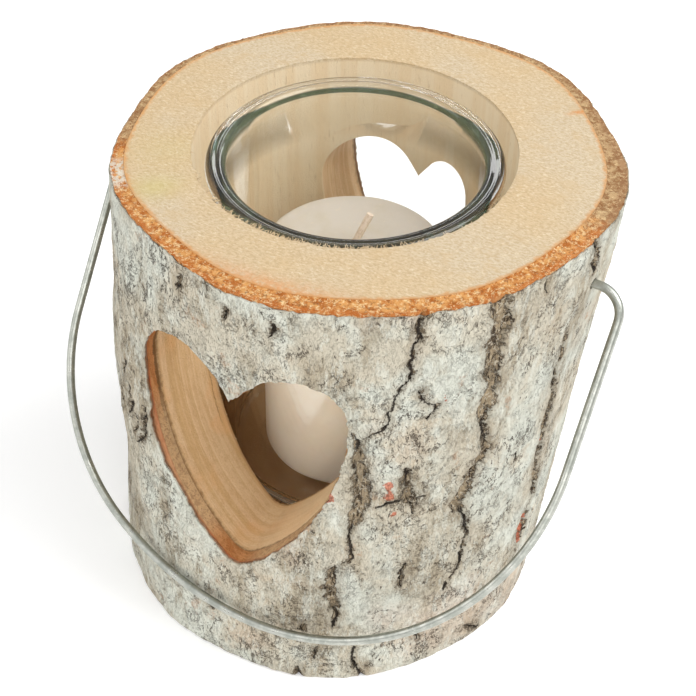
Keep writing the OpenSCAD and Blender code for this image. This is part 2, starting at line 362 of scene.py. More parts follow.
def heart_outline(heart, step=0.5):
    right = heart_side(heart["right"], heart["tip"], heart["notch"], 1)
    left = heart_side(heart["left"], heart["tip"], heart["notch"], -1)
    loop = np.concatenate([right, left[::-1][:-1]])
    closed = np.concatenate([loop, loop[:1]])
    run = np.concatenate([[0], np.cumsum(np.hypot(*np.diff(closed, axis=0).T))])
    n = int(run[-1] / step)
    s = np.arange(n) * run[-1] / n
    pts = np.stack([np.interp(s, run, closed[:, 0]), np.interp(s, run, closed[:, 1])], -1)
    tangent = np.roll(pts, -1, 0) - np.roll(pts, 1, 0)
    tangent /= np.hypot(tangent[:, 0], tangent[:, 1])[:, None]
    normal = np.stack([-tangent[:, 1], tangent[:, 0]], -1)
    return pts, normal, s / run[-1]


def heart_cutter(name, heart, offset, ys):
    """A prism of a heart along Y. offset(s, y, points) is how far each wall point moves outward, in mm."""
    pts, normal, s = heart_outline(heart)
    n = len(pts)
    loops = []
    for y in ys:
        p = pts + normal * offset(s, y, pts)[:, None]
        loops.append(np.stack([p[:, 0], np.full(n, y), p[:, 1]], -1))
    faces = ring_faces(len(ys), n).tolist()
    last = (len(ys) - 1) * n
    faces.append(list(range(n))[::-1])
    faces.append([last + k for k in range(n)])
    return new_mesh(name, np.concatenate(loops), faces)


def saw_marks(s, y, pts):
    return 0.10 * fbm(s, np.full(s.shape, (y + 90) / 180), 30, 60, 2, 31)


def torn(s, y, pts):
    """The papery skin breaks back from the saw cut, most on the left flank of the front heart."""
    v = np.full(s.shape, 0.5 + 0.4 * np.sign(y))
    edge = 0.35 + 0.75 * fbm(s, v, 90, 2, 4, 41, 0.8)
    left = smooth(-14, -24, pts[:, 0]) * smooth(56, 62, pts[:, 1]) * smooth(84, 78, pts[:, 1])
    chip = left * (1.8 + 1.3 * fbm(s, v, 40, 2, 3, 43))
    return np.maximum(edge, 0.0) + (chip if y < 0 else 0.3 * chip)


def wire_cutters(radius):
    out = []
    for side in (1, -1):
        k = np.arange(20) * 18.0
        loops = [np.stack([np.full(20, side * x), radius * cosd(k) * side,
            PIVOT_Z + radius * np.sin(np.radians(k))], -1)
                 for x in (46.0, 84.0)]
        faces = ring_faces(2, 20).tolist()
        faces += [list(range(20))[::-1], [20 + i for i in range(20)]]
        out.append(new_mesh("wire_cut", np.concatenate(loops), faces))
    return out


near = np.concatenate([[-86], np.arange(-74, -24, 1.1)])
saw_cuts = [heart_cutter("saw_cut", FRONT, saw_marks, near),
    heart_cutter("saw_cut", BACK, saw_marks, -near[::-1])]
skin_near = np.array([-86, -60, -24.0])
skin_cuts = [heart_cutter("skin_cut", FRONT, torn, skin_near),
    heart_cutter("skin_cut", BACK, torn, -skin_near[::-1])]
pin_cuts = wire_cutters(1.32)
skin_pin_cuts = wire_cutters(1.7)

# ---------------------------------------------------------------- white outer bark
N = 480
angles = np.arange(N) * 360.0 / N


def skin_rows():
    rows = 160
    u = angles / 360
    rag_top = 0.5 + 0.8 * fbm(u, u * 0 + 0.5, 100, 2, 4, 51, 0.85)
    d = fissure_distance(angles, np.full(N, H - 1.0))
    top = H - 0.15 - np.clip(rag_top, 0, 1.2) * 1.1 - 2.2 * smooth(0.6, -1.4, d)
    low = 0.05 + 0.4 * (0.5 + 0.5 * fbm(u, u * 0 + 0.5, 60, 2, 3, 53))
    frac = np.linspace(0, 1, rows + 1)[:, None]
    z = low[None] + (top - low)[None] * frac
    a = np.broadcast_to(angles, z.shape)
    return a, z


def skin_back(a, z, r, k):
    """Radius of the skin's back: full thickness below, thin as paper where it reaches the sawn top."""
    near_top = smooth(H - 6, H - 2.5, z)
    return (low_filter(r, k) - SKIN_T) * (1 - near_top) + (r - 0.34) * near_top


a_grid, z_grid = skin_rows()
outer_r = surface_r(a_grid, z_grid)
inner_rows = np.concatenate([np.arange(0, 152, 4), np.arange(152, 161)])
inner_r = skin_back(a_grid, z_grid, outer_r, 2)[inner_rows]
inner_r = np.maximum(inner_r, log_r(a_grid[inner_rows],
    z_grid[inner_rows] / H) - bark_t(a_grid[inner_rows]) + 0.5)
outer_pts = at(a_grid, outer_r, z_grid)
inner_pts = at(a_grid[inner_rows], inner_r, z_grid[inner_rows])
skin = closed_loops("outer_bark_skin", list(outer_pts) + list(inner_pts[::-1]))
cut(skin, *skin_cuts, *skin_pin_cuts)
pa, pr, pz, pp = polar(skin.data)
crack, middle = fissure_distances(pa, pz)
put(skin.data, "crack", crack)
put(skin.data, "middle", middle)
rust = np.full(pa.shape, 30.0)
for ra, rz, rr in RUST:
    rust = np.minimum(rust, np.hypot(((pa - ra + 180) % 360 - 180) * 1.15, (pz - rz) * 0.7) - rr)
put(skin.data, "rust", rust)
put(skin.data, "under", (surface_r(pa, pz) - pr) * smooth(H - 3, H - 5, pz))
soften(skin, 50)

# ---------------------------------------------------------------- orange inner bark
bast_z = np.concatenate([np.linspace(0, 0.95, 40), np.linspace(0.956, 1, 8)])[:, None]
u1 = angles / 360
bast_top = H - 0.05 - 0.35 * (0.5 + 0.5 * fbm(u1, u1 * 0 + 0.5, 200, 2, 3, 61))
bz = bast_z * bast_top[None]
ba = np.broadcast_to(angles, bz.shape)
b_out = skin_back(ba, bz, surface_r(ba, bz), 1) - 0.05
wood_edge = log_r(ba, bz / H) - bark_t(ba)
b_out = np.maximum(b_out, wood_edge + 0.45)
loops = list(at(ba, b_out, bz))
ring = 9
for k in range(1, ring):
    f = k / ring
    r = b_out[-1] * (1 - f) + (wood_edge[-1] + 0.03) * f
    z = bast_top - 0.30 * (0.5 + 0.5 * fbm(u1 + k * 0.37, u1 * 0 + f, 260, 6, 2, 63 + k))
    z = np.minimum(z, H - 0.02)
    loops.append(at(angles, r, z))
in_z = np.linspace(1, 0, 15)[:, None] * (H - 0.1)
ia = np.broadcast_to(angles, in_z.shape[:1] + (N,))
iz = np.broadcast_to(in_z, ia.shape)
loops += list(at(ia, log_r(ia, iz / H) - bark_t(ia) + 0.03, iz))
bast = closed_loops("inner_bark_bast", loops)
cut(bast, *saw_cuts, *pin_cuts)
pa, pr, pz, pp = polar(bast.data)
put(bast.data, "depth", log_r(pa, np.clip(pz / H, 0, 1)) - pr)
put(bast.data, "left", pr - (log_r(pa, np.clip(pz / H, 0, 1)) - bark_t(pa)))
put(bast.data, "pale", smooth(7, 3, np.abs(pa + 141)) * (pz > H - 2))
put(bast.data, "dull", smooth(0.45, 0.0, cosd(pa + 78)))
put(bast.data, "wall", smooth(H - 0.9, H - 2.2, pz))
left_fade = smooth(88, 74, pz) * smooth(42, 50, pz) * smooth(-88, -100, pa)
right_fade = smooth(-87, -80, pa) * (pa < -40) * smooth(96, 90, pz)
put(bast.data, "fade", left_fade + right_fade)
soften(bast, 50)

# ---------------------------------------------------------------- the wood
wz = np.linspace(0, 1, 15)[:, None] * (H - 0.02)
wa = np.broadcast_to(angles, (15, N))
wz = np.broadcast_to(wz, wa.shape)
w_out = log_r(wa, wz / H) - bark_t(wa) - 0.02
loops = list(at(wa, w_out, wz))
rim_xy = loops[-1][:, :2]
front = smooth(-0.25, 0.5, cosd(angles + 85))
spike = fbm(u1, u1 * 0 + 0.5, 210, 2, 3, 71, 0.75)
mouth_r = BORE_R + 0.12 * fbm(u1, u1 * 0 + 0.5, 60, 2, 3, 73) + front * (0.65 - 1.3 * np.maximum(spike, 0))
th = np.radians(angles)
mouth = np.stack([mouth_r * np.cos(th), mouth_r * np.sin(th)], -1)
steps = 26
for k in range(1, steps):
    f = k / steps
    xy = rim_xy * (1 - f) + mouth * f
    z = H - 0.03 - 0.10 * (0.5 + 0.5 * fbm(u1, u1 * 0 + f, 120, 30, 3, 75))
    loops.append(np.column_stack([xy, z]))
lip_z = H - 0.05 - 0.25 * (0.5 + 0.5 * spike)
loops.append(np.column_stack([mouth, lip_z]))
for dz, keep in ((0.35, 0.8), (0.8, 0.4), (1.5, 0.12)):
    r = BORE_R + (mouth_r - BORE_R) * keep
    loops.append(np.column_stack([r * np.cos(th), r * np.sin(th), np.full(N, H - dz)]))
for z in np.concatenate([np.linspace(H - 3, FLOOR_Z + 0.6, 56), [FLOOR_Z]]):
    r = BORE_R + 0.05 * fbm(u1, u1 * 0 + z / H, 90, 8, 2, 79)
    loops.append(np.column_stack([r * np.cos(th), r * np.sin(th), np.full(N, z)]))
for r in (36.0, 24.0, 12.0, 3.0):
    loops.append(np.column_stack([r * np.cos(th), r * np.sin(th), np.full(N, FLOOR_Z)]))
top_n = len(loops)
points = np.concatenate(loops)
faces = ring_faces(top_n, N).tolist()
last = (top_n - 1) * N
faces.append([last + k for k in range(N)])
faces.append(list(range(N))[::-1])
wood = new_mesh("log_wood", points, faces)
cut(wood, *saw_cuts, *pin_cuts)
pa, pr, pz, pp = polar(wood.data)
edge = log_r(pa, np.clip(pz / H, 0, 1)) - bark_t(pa) - pr
put(wood.data, "depth", edge)
bore_edge = np.hypot(pp[:, 0], pp[:, 1]) - BORE_R
put(wood.data, "bore", bore_edge)
wander = 0.5 * fbm(pz / H, pz * 0 + 0.5, 14, 2, 3, 77)
put(wood.data, "split", bore_edge - 1.9 - 0.05 * (80 - pz) - wander)
put(wood.data, "torn", smooth(60, 66, pz) * smooth(92, 84, pz) * (pa < -92) * (pa > -150))
on_top = smooth(H - 3, H - 0.5, pz)
put(wood.data, "top", smooth(H - 1.6, H - 0.35, pz))


def blob(a0, r0, da, dr):
    return np.exp(-(((pa - a0 + 180) % 360 - 180) / da) ** 2 - ((pr - r0) / dr) ** 2)


streak = np.exp(-(((pa - 46.5 + 180) % 360 - 180) / 0.8) ** 2) * smooth(55.5, 61, pr)
put(wood.data, "stain", on_top * (0.9 * streak + 0.65 * blob(-84, 61, 17, 3.6) + 0.35 * blob(-120, 63, 16,
    2.5)))
put(wood.data, "sap", on_top * (blob(-133, 57, 5, 7) + 0.4 * blob(-150, 52, 9, 9)))
soften(wood, 35)


def slivers(name, roots, tips, widths, rng):
    """Thin three-sided splinters from roots to tips."""
    pts, faces = [], []
    for p, q, w in zip(roots, tips, widths):
        along = q - p
        along = along / np.linalg.norm(along)
        side = np.cross(along, rng.normal(size=3))
        side /= np.linalg.norm(side)
        up = np.cross(along, side)
        k = len(pts)
        bend = (p + q) / 2 + side * w * rng.uniform(-1, 1)
        for c, r in ((p, w), (bend, w * 0.7)):
            for b in (0, 120, 240):
                pts.append(c + r * (cosd(b) * side + math.sin(math.radians(b)) * up))
        pts.append(q)
        for b in range(3):
            n = (b + 1) % 3
            faces.append([k + b, k + n, k + 3 + n, k + 3 + b])
            faces.append([k + 3 + b, k + 3 + n, k + 6])
        faces.append([k + 2, k + 1, k])
    return new_mesh(name, pts, faces)


def fringe(name, seed, count, place, reach, width):
    """Splinters at random places. place(rng) gives a root and an outward direction."""
    rng = np.random.RandomState(seed)
    roots, tips, widths = [], [], []
    for _ in range(count):
        p, d = place(rng)
        d = d / np.linalg.norm(d)
        roots.append(p - d * 0.25)
        tips.append(p + d * rng.uniform(*reach))
        widths.append(rng.uniform(*width))
    return slivers(name, roots, tips, widths, rng)


def at_mouth(rng):
    b = math.radians(rng.normal(-80, 26))
    r = BORE_R + 0.25
    p = np.array([r * math.cos(b), r * math.sin(b), H - rng.uniform(0.05, 0.5)])
    return p, np.array([-math.cos(b), -math.sin(b), 0.0]) + rng.normal(0, 0.55, 3) * [1, 1, 0.35]


def on_heart(lo, hi, radius):
    outline, outward, _ = heart_outline(FRONT)
    low = np.flatnonzero((outline[:, 1] > lo) & (outline[:, 1] < hi))

    def place(rng):
        k = low[rng.randint(len(low))]
        (x, z), (nx, nz) = outline[k], outward[k]
        y = -math.sqrt(radius(x, z) ** 2 - x * x)
        return np.array([x, y, z]), np.array([-nx, -0.2, -nz]) + rng.normal(0, 0.6, 3)

    return place


splinters = fringe("mouth_splinters", 83, 190, at_mouth, (0.5, 1.7), (0.07, 0.19))
fuzz = fringe("heart_splinters", 89, 130, on_heart(40, 80, lambda x, z: BORE_R + 0.2), (0.3, 0.9),
    (0.05, 0.12))
for piece in (splinters, fuzz):
    count = len(piece.data.vertices)
    for name, value in (("depth", 9.0), ("bore", 1.5), ("stain", 0.0), ("sap", 0.0), ("top", 1.0),
        ("split", 9.0), ("torn", 0.0)):
        put(piece.data, name, np.full(count, value))

for c in (*saw_cuts, *skin_cuts, *pin_cuts, *skin_pin_cuts):
    bpy.data.objects.remove(c)

# ---------------------------------------------------------------- lathe and tube helpers


def lathe(name, profile, n, wobble=None):
    """A closed solid turned about Z. The profile runs from the axis, round the outside and back."""
    th = np.radians(np.arange(n) * 360.0 / n)
    profile = np.array(profile, float)
    loops = []
    for r, z in profile[1:-1]:
        rr = np.full(n, r)
        zz = np.full(n, z)
        if wobble:
            rr, zz = wobble(th, rr, zz)
        loops.append(np.stack([rr * np.cos(th), rr * np.sin(th), zz], -1))
    pts = np.concatenate(loops + [[[0, 0, profile[0][1]], [0, 0, profile[-1][1]]]])
    faces = ring_faces(len(loops), n).tolist()
    a, b = len(pts) - 2, len(pts) - 1
    base = (len(loops) - 1) * n
    for k in range(n):
        faces.append([a, (k + 1) % n, k])
        faces.append([b, base + k, base + (k + 1) % n])
    return new_mesh(name, pts, faces)


def arc(cx, cz, r, a0, a1, n):
    return [(cx + r * math.cos(math.radians(b)), cz + r * math.sin(math.radians(b))) for b in np.linspace(a0,
        a1, n)]


def tube(name, path, radius, sides, twist=None):
    """A closed tube along path, with flat ends. radius may be one number or one for each point and side."""
    path = np.asarray(path, float)
    tan = np.gradient(path, axis=0)
    tan /= np.linalg.norm(tan, axis=1)[:, None]
    up = np.array([0.0, 1.0, 0.0]) if abs(tan[0][1]) < 0.9 else np.array([1.0, 0.0, 0.0])
    nrm = np.cross(tan[0], up)
    nrm /= np.linalg.norm(nrm)
    loops = []
    k = np.arange(sides) * 2 * math.pi / sides
    for i, p in enumerate(path):
        nrm = nrm - tan[i] * np.dot(nrm, tan[i])
        nrm /= np.linalg.norm(nrm)
        side = np.cross(tan[i], nrm)
        r = radius(i, k) if callable(radius) else np.full(sides, radius)
        loops.append(p + r[:, None] * (np.cos(k)[:, None] * nrm + np.sin(k)[:, None] * side))
    faces = ring_faces(len(path), sides).tolist()
    last = (len(path) - 1) * sides
    faces += [list(range(sides))[::-1], [last + i for i in range(sides)]]
    return new_mesh(name, np.concatenate(loops), faces)


# ---------------------------------------------------------------- glass cup
GR, GW, GF = 38.6, 3.2, 5.5  # outer radius, wall and floor
bead, step_r = 2.0, 1.7  # radii of the rim's bead and of the step inside it
bead_x = GR + 1.4 - bead
step_x = bead_x - 1.9
step_z = RIM_Z - step_r
gi = GR - GW
prof = [(0, FLOOR_Z + 1.2), (20, FLOOR_Z + 1.15), (26.2, FLOOR_Z + 1.0), (27.4, FLOOR_Z + 0.3),
    (28.4, FLOOR_Z)]
prof += [(31, FLOOR_Z)] + arc(GR - 4, FLOOR_Z + 4, 4, -90, 0, 9)
prof += [(GR, FLOOR_Z + k) for k in (12, 24, 40, 56, 72, 88)] + [(GR, RIM_Z - 6.5), (GR + 0.1, RIM_Z - 5.0)]
prof += arc(bead_x, RIM_Z - bead, bead, -35, 112, 15)
prof += arc(step_x, step_z, step_r, 74, 235, 13)
prof += [(gi + 0.05, step_z - step_r - 1.6),
    (gi, step_z - 5)] + [(gi, FLOOR_Z + k) for k in (88, 72, 56, 40, 24, 14)]
prof += arc(gi - 3, FLOOR_Z + GF + 3, 3, 0, -90, 7) + [(26, FLOOR_Z + GF), (14, FLOOR_Z + GF),
    (0, FLOOR_Z + GF)]


def glass_wobble(th, rr, zz):
    body = 0.06 * np.sin(3 * th + zz * 0.05) + 0.04 * np.sin(5 * th - zz * 0.09)
    return rr + np.where(rr > 20, body, 0) * 0.8, zz


glass = lathe("glass_cup", prof, 160, glass_wobble)
gp = coords(glass.data)
gr, ga = np.hypot(gp[:, 0], gp[:, 1]), np.arctan2(gp[:, 1], gp[:, 0])
rim = smooth(RIM_Z - 6.5, RIM_Z - 4.0, gp[:, 2])
cup = 1 - smooth(RIM_Z - 18, RIM_Z - 12, gp[:, 2])
put(glass.data, "solid", np.maximum(0.07, np.maximum(0.93 * rim, cup)))
# Painted shade: the rim's dark green band, the look of thick glass seen through, is painted wide on this side
# and runs out opposite, because of the photograph's viewing direction
PAINTED_SHADE_SIDE = -62
facing = np.cos(ga - math.radians(PAINTED_SHADE_SIDE))
reach = 34.7 + 3.7 * smooth(-0.75, -0.1, facing) + 2.5 * smooth(0.3, 0.7, facing)
lip = smooth(reach + 0.2, reach - 0.2, gr)
put(glass.data, "thick", rim * np.minimum(lip, 1))
# Painted shade: on the side marked near the band is painted olive, elsewhere teal
put(glass.data, "near", smooth(0.5, 0.9, facing))
soften(glass, 60)

# ---------------------------------------------------------------- candle and wick
CZ0, CZ1, CR = candle_lo[2], candle_hi[2], candle_hi[0]
prof = [(0, CZ0), (8.05, CZ0), (CR - 2.8, CZ0)] + arc(CR - 2.8, CZ0 + 2.8, 2.8, -78, 0, 8)
prof += [(CR, z) for z in np.linspace(CZ0 + 8, CZ1 - 5, 12)]
prof += arc(CR - 2.6, CZ1 - 2.9, 2.6, 0, 80, 7) + [(20, CZ1 - 0.22), (15, CZ1 - 0.30), (10, CZ1 - 0.36),
    (6, CZ1 - 0.42),
        (3.4, CZ1 - 0.30), (2.2, CZ1 - 0.1), (1.3, CZ1 - 0.25), (0, CZ1 - 0.3)]


def wax_wobble(th, rr, zz):
    k = 0.10 * np.sin(2 * th + 0.7) + 0.06 * np.sin(5 * th + zz * 0.12) + 0.05 * np.sin(9 * th - zz * 0.2)
    return rr - 0.1 + np.where(rr > 12, k * 0.8, 0), zz


candle = lathe("pillar_candle", prof, 128, wax_wobble)
put(candle.data, "crown", smooth(CZ1 - 6, CZ1 - 1.5, coords(candle.data)[:, 2]))
soften(candle, 60)

wick_lo, _ = [[c * 1000 for c in p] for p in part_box("wick")]
lean, lean_dir, bend = math.radians(29), math.radians(55), 3.0  # the free end's tilt, its direction, its bend
path = [(0, 0, z) for z in np.arange(wick_lo[2], CZ1 - 0.3, 2.0)] + [(0, 0, CZ1)]
flat = [(bend * (1 - math.cos(b)), CZ1 + bend * math.sin(b)) for b in np.linspace(0, lean, 6)[1:]]
x0, z0 = flat[-1]
flat += [(x0 + s * math.sin(lean), z0 + s * math.cos(lean)) for s in np.arange(0.5, 9.9, 0.5)]
path += [(x * math.cos(lean_dir), x * math.sin(lean_dir), z) for x, z in flat]


def braid(i, k):
    return 1.02 + 0.07 * np.sin(3 * k + i * 0.9) * np.sin(3 * k - i * 0.9) + 0.03 * math.sin(i * 0.7)


wick = tube("braided_wick", path, braid, 18)
soften(wick, 60)

# ---------------------------------------------------------------- wire bail
REST = math.radians(35.5)  # how far the hanging wire leans off upright
TURN = 7.5  # bend radius between a pin and its leg
LEG_L, LEG_R = 74.1, 78.7  # the legs' distances from the middle
APEX_X, APEX = 5.2, 122.4  # the lowest point: sideways, and below the pins


def bail_side(leg, corner, angle, end_x):
    b = math.radians(angle)
    low = corner - (end_x - leg + corner) / math.cos(b)
    drop = APEX - low - (corner - low) * math.sin(b)
    pts = [(x, 0.0) for x in np.linspace(48, leg - TURN, 8)]
    pts += [(leg - TURN + TURN * math.cos(k), -TURN + TURN * math.sin(k)) for k in np.linspace(math.pi / 2,
        0, 14)[1:]]
    pts += [(leg, -z) for z in np.linspace(TURN, drop, 20)[1:]]
    pts += [(leg - corner + corner * math.cos(k), -drop + corner * math.sin(k)) for k in np.linspace(0, -b,
        46)[1:]]
    pts += [(end_x + low * math.cos(k), low - APEX + low * math.sin(k)) for k in np.linspace(-b,
        -math.pi / 2, 46)[1:]]
    return pts


right = bail_side(LEG_R, 73.4, 57.4, APEX_X)
left = [(-x, z) for x, z in bail_side(LEG_L, 61.9, 60.8, -APEX_X)]
line = right + left[::-1][1:]
path = [(x, z * math.sin(REST), PIVOT_Z + z * math.cos(REST)) for x, z in line]


def wire_r(i, k):
    return 1.235 + 0.010 * np.sin(k * 2 + i * 0.31) + 0.006 * math.sin(i * 1.7)


bail = tube("wire_bail", path, wire_r, 20)
soften(bail, 50)

# ---------------------------------------------------------------- materials


class Mat:
    """A small helper for node materials."""

    def __init__(self, name):
        self.mat = bpy.data.materials.new(name)
        self.mat.use_nodes = True
        self.nt = self.mat.node_tree
        self.bsdf = self.nt.nodes["Principled BSDF"]
        self.obj = self.node("ShaderNodeTexCoord").outputs["Object"]

    def node(self, kind, **values):
        n = self.nt.nodes.new(kind)
        for k, v in values.items():
            if hasattr(n, k):
                setattr(n, k, v)
            else:
                n.inputs[k].default_value = v
        return n

    def link(self, a, b):
        self.nt.links.new(a, b)

    def stretch(self, x, y, z):
        m = self.node("ShaderNodeMapping")
        m.inputs["Scale"].default_value = (x, y, z)
        self.link(self.obj, m.inputs["Vector"])
        return m.outputs["Vector"]

    def noise(self, scale, detail=4, rough=0.6, vector=None, distort=0.0):
        n = self.node("ShaderNodeTexNoise")
        n.inputs["Scale"].default_value = scale
        n.inputs["Detail"].default_value = detail
        n.inputs["Roughness"].default_value = rough
        n.inputs["Distortion"].default_value = distort
        self.link(vector or self.obj, n.inputs["Vector"])
        return n.outputs["Fac"]

    def ramp(self, value, lo, hi, a=0.0, b=1.0, soft=True):
        n = self.node("ShaderNodeMapRange")
        n.interpolation_type = "SMOOTHSTEP" if soft else "LINEAR"
        n.inputs["From Min"].default_value = lo
        n.inputs["From Max"].default_value = hi
        n.inputs["To Min"].default_value = a
        n.inputs["To Max"].default_value = b
        self.link(value, n.inputs["Value"])
        return n.outputs["Result"]

    def math(self, op, a, b=None):
        n = self.node("ShaderNodeMath", operation=op)
        for i, v in enumerate((a, b)):
            if v is None:
                continue
            if isinstance(v, (int, float)):
                n.inputs[i].default_value = v
            else:
                self.link(v, n.inputs[i])
        return n.outputs[0]

    def times(self, a, b):
        return self.math("MULTIPLY", a, b)

    def plus(self, a, b):
        return self.math("ADD", a, b)

    def minus(self, a, b):
        return self.math("SUBTRACT", a, b)

    def most(self, a, b):
        return self.math("MAXIMUM", a, b)

    def jitter(self, value, scale, detail, rough, amount):
        """The value, moved up and down by noise."""
        return self.plus(value, self.times(self.minus(self.noise(scale, detail, rough), 0.5), amount))

    def xyz(self):
        n = self.node("ShaderNodeSeparateXYZ")
        self.link(self.obj, n.inputs[0])
        return n.outputs

    def attr(self, name):
        n = self.node("ShaderNodeAttribute", attribute_name=name)
        return n.outputs["Fac"]

    def mix(self, fac, a, b, blend="MIX"):
        n = self.node("ShaderNodeMix", data_type="RGBA", blend_type=blend)
        if isinstance(fac, (int, float)):
            n.inputs["Factor"].default_value = fac
        else:
            self.link(fac, n.inputs["Factor"])
        for key, v in ((6, a), (7, b)):
            if isinstance(v, tuple):
                n.inputs[key].default_value = (*v, 1)
            else:
                self.link(v, n.inputs[key])
        return n.outputs[2]

    def bump(self, height, strength, distance, normal=None):
        n = self.node("ShaderNodeBump")
        n.inputs["Strength"].default_value = strength
        n.inputs["Distance"].default_value = distance
        self.link(height, n.inputs["Height"])
        if normal is not None:
            self.link(normal, n.inputs["Normal"])
        return n.outputs["Normal"]

    def set(self, **values):
        for k, v in values.items():
            name = k.replace("_", " ")
            sock = self.bsdf.inputs[name]
            if isinstance(v, (int, float, tuple)):
                sock.default_value = v
            else:
                self.link(v, sock)


def srgb(r, g, b):
    return tuple((c / 255 / 12.92) if c <= 10 else ((c / 255 + 0.055) / 1.055) ** 2.4 for c in (r, g, b))


def give(obj, m):
    obj.data.materials.clear()
    obj.data.materials.append(m.mat)


# White bark
m = Mat("white_birch_bark")
tall = m.stretch(1, 1, 0.3)
col = m.mix(m.ramp(m.noise(34, 4, 0.6), 0.42, 0.58), srgb(208, 209, 196), srgb(198, 190, 171))
grime = m.ramp(m.noise(88, 5, 0.7, tall), 0.47, 0.64)
col = m.mix(m.times(grime, 0.72), col, srgb(162, 148, 124))
col = m.mix(m.ramp(m.noise(46, 5, 0.65), 0.54, 0.66, 0, 0.45), col, srgb(196, 176, 148))
col = m.mix(m.ramp(m.noise(24, 3, 0.5), 0.56, 0.68, 0, 0.3), col, srgb(206, 180, 162))
smudge = m.ramp(m.noise(125, 4, 0.7, m.stretch(1, 1, 0.8)), 0.63, 0.72, 0, 0.55)
col = m.mix(smudge, col, srgb(170, 128, 94))
mottle = m.ramp(m.noise(300, 8, 0.82), 0.52, 0.565)
col = m.mix(m.times(mottle, m.plus(m.times(grime, 0.55),
    m.times(m.ramp(m.noise(30, 4, 0.6), 0.46, 0.58), 0.26))), col, srgb(112, 100, 80))
col = m.mix(m.ramp(m.noise(210, 6, 0.85, tall), 0.52, 0.57, 0, 0.5), col, srgb(217, 218, 206))
calm = m.ramp(m.noise(48, 4, 0.65), 0.40, 0.54, 0.25, 1)
patch = m.ramp(m.noise(75, 4, 0.7), 0.50, 0.60)
speck = m.times(m.ramp(m.noise(1000, 5, 0.85), 0.56, 0.60), m.times(patch, calm))
col = m.mix(m.times(speck, 0.85), col, srgb(78, 66, 50))
dots = m.times(m.ramp(m.noise(900, 3, 0.6, m.stretch(1, 1, 0.5)), 0.65, 0.69),
    m.ramp(m.noise(70, 3, 0.6), 0.44, 0.58))
col = m.mix(m.times(dots, 0.9), col, srgb(60, 50, 40))


def hairs(scale, vector, low, high, seed_scale, thin):
    """Thin wandering dark lines, in patches."""
    line = m.math("ABSOLUTE", m.minus(m.noise(scale, 5, 0.7, vector), 0.5))
    return m.times(m.ramp(line, thin, thin * 0.3), m.ramp(m.noise(seed_scale, 4, 0.65), low, high))


vein = m.most(hairs(210, m.stretch(1, 1, 0.45), 0.46, 0.53, 62, 0.017),
    hairs(150, m.stretch(1, 1, 1.2), 0.52, 0.57, 84, 0.013))
vein = m.times(vein, calm)
col = m.mix(m.times(vein, 0.9), col, srgb(70, 58, 44))
jag = m.jitter(m.attr("crack"), 230, 3, 0.6, 4.6)
jag = m.jitter(jag, 760, 5, 0.78, 5.0)
col = m.mix(m.ramp(jag, 3.0, 0.6, 0, 0.38), col, srgb(160, 144, 120))
inside = m.ramp(jag, 0.30, 0.12)
strips = m.ramp(m.noise(620, 6, 0.8, m.stretch(1, 1, 0.2)), 0.455, 0.505)
deep = m.mix(strips, srgb(70, 57, 42), srgb(168, 150, 122))
deep = m.mix(m.ramp(m.noise(1100, 3, 0.7), 0.54, 0.60, 0, 0.7), deep, srgb(202, 192, 172))
edge_line = m.times(m.ramp(jag, 0.28, 0.15), m.ramp(jag, -0.7, -0.15))
deep = m.mix(m.times(edge_line, 0.6), deep, srgb(44, 36, 28))
col = m.mix(inside, col, deep)
seam = m.jitter(m.attr("middle"), 420, 4, 0.7, 2.6)
seam = m.minus(m.math("ABSOLUTE", seam), m.ramp(m.noise(130, 3, 0.6), 0.36, 0.60, 0.0, 0.30))
seam = m.times(m.ramp(seam, 0.22, 0.06), m.times(m.ramp(m.attr("crack"), 0.95, 0.6),
    m.ramp(m.attr("crack"), -0.85, -0.35)))
col = m.mix(m.times(seam, 0.92), col, srgb(40, 32, 25))
rusty = m.jitter(m.attr("rust"), 420, 4, 0.7, 5.0)
col = m.mix(m.ramp(rusty, 0.1, -0.3, 0, 0.85), col,
    m.mix(m.ramp(m.noise(900, 4, 0.7), 0.45, 0.58), srgb(206, 118, 88), srgb(150, 76, 48)))
broken = m.jitter(m.attr("under"), 900, 3, 0.6, 0.5)
col = m.mix(m.ramp(broken, 0.30, 0.62, 0, 0.85), col, srgb(150, 104, 66))
plates = m.noise(150, 6, 0.75, m.stretch(1, 1, 0.45))
steps = m.plus(m.ramp(plates, 0.470, 0.492), m.plus(m.ramp(plates, 0.545, 0.565), m.ramp(plates, 0.40, 0.42)))
height = m.plus(m.times(m.noise(250, 6, 0.7, m.stretch(1, 1, 0.45)), 1.0),
    m.times(m.noise(1100, 5, 0.7), 0.28))
height = m.plus(height, m.times(steps, 0.22))
height = m.minus(height, m.times(inside, 0.5))
height = m.minus(height, m.times(m.most(m.most(speck, vein), seam), 0.3))
m.set(Base_Color=col, Roughness=m.ramp(m.noise(300), 0.3, 0.7, 0.75, 0.95),
    Normal=m.bump(height, 1.0, 0.0016))
m.set(Specular_IOR_Level=0.25)
give(skin, m)

# Inner bark
m = Mat("orange_inner_bark")
fresh = m.mix(m.ramp(m.noise(420, 6, 0.75), 0.42, 0.58), srgb(184, 108, 46), srgb(222, 162, 96))
fresh = m.mix(m.ramp(m.attr("depth"), 2.4, 1.1, 0, 0.6), fresh, srgb(196, 110, 48))
old = m.mix(m.ramp(m.noise(420, 6, 0.75), 0.42, 0.58), srgb(158, 118, 78), srgb(200, 166, 122))
old = m.mix(m.ramp(m.attr("depth"), 1.9, 0.8, 0, 0.5), old, srgb(150, 104, 70))
worn = m.jitter(m.attr("dull"), 160, 4, 0.65, 1.6)
col = m.mix(m.ramp(worn, 0.2, 0.8), fresh, old)
